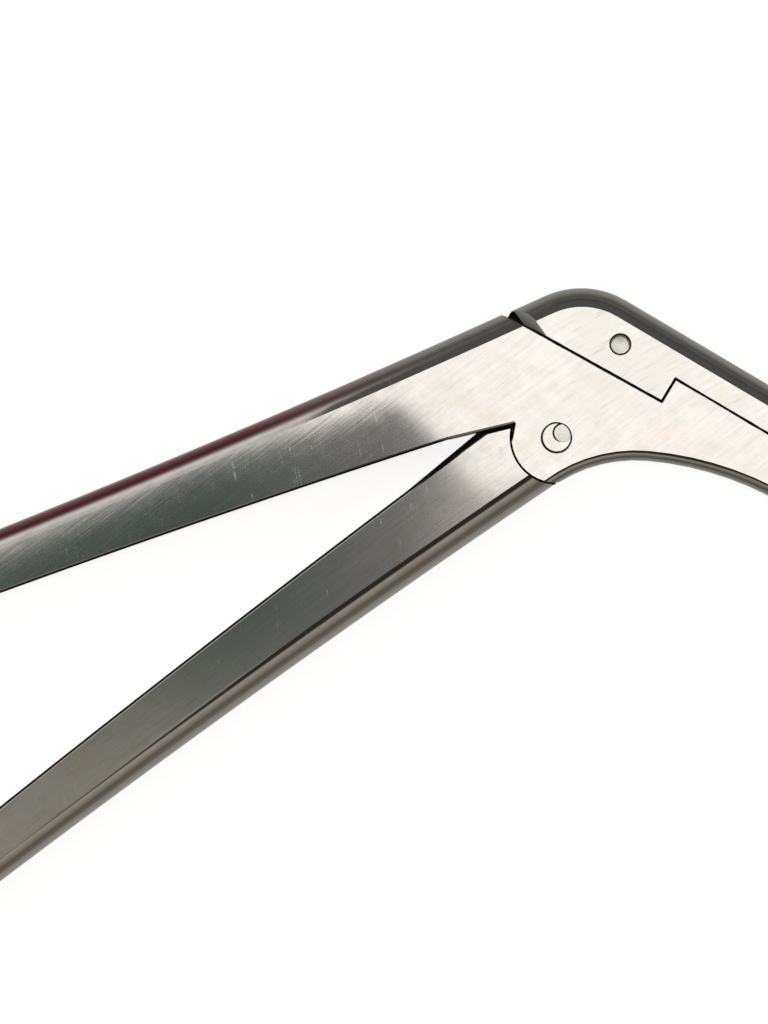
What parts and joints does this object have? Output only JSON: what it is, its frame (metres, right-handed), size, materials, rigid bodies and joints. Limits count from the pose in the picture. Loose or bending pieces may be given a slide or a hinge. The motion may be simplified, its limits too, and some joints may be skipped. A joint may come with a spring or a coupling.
{
  "type": "bone rongeur",
  "caption": "Ring-handled bone rongeur in brushed steel: squeezing the handles slides the upper shaft forward and closes the hinged cup jaw.",
  "frame": {"origin": "on the handle pivot's axis, at the side face that the instrument lies on", "axes": "+Z along the pivots through the thickness, +X along the shank towards the jaws, +Y towards the slider's back"},
  "size_m": [0.2318, 0.1196, 0.005],
  "materials": {
    "frame_steel": "fine brushed, warm",
    "handle_steel": "fine brushed, slightly greener",
    "slider_steel": "fine brushed, warm",
    "pin_steel": "ground flush, brighter than the cheeks"
  },
  "bodies": {
    "frame": {"body_frame": "frame_steel", "thumb_ring": "frame_steel", "handle_pivot_pin": "pin_steel", "jaw_pivot_pin": "pin_steel"},
    "lever": {"front_handle": "handle_steel", "finger_ring": "handle_steel"},
    "slider": {"slider_bar": "slider_steel", "slider_drive_pin": "pin_steel", "jaw_link_pin": "pin_steel"},
    "jaw": {"upper_jaw": "slider_steel"}
  },
  "joints": [
    {"name": "handle_pivot", "type": "hinge", "parent": "frame", "child": "lever", "pos_m": [0, 0, 0.0025], "axis": [0, 0, 1], "range_deg": [0, 15]},
    {"name": "slider_run", "type": "slide", "parent": "frame", "child": "slider", "axis": [-1, 0, 0], "range_m": [0, 0.003]},
    {"name": "jaw_pivot", "type": "hinge", "parent": "frame", "child": "jaw", "pos_m": [0.137, 0.0093, 0.0025], "axis": [0, 0, 1], "range_deg": [0, 56.5]}
  ],
  "couplings": [
    {"joint": "slider_run", "follows": "handle_pivot", "m_per_rad": 0.01119},
    {"joint": "jaw_pivot", "follows": "handle_pivot", "ratio": 3.7333}
  ]
}
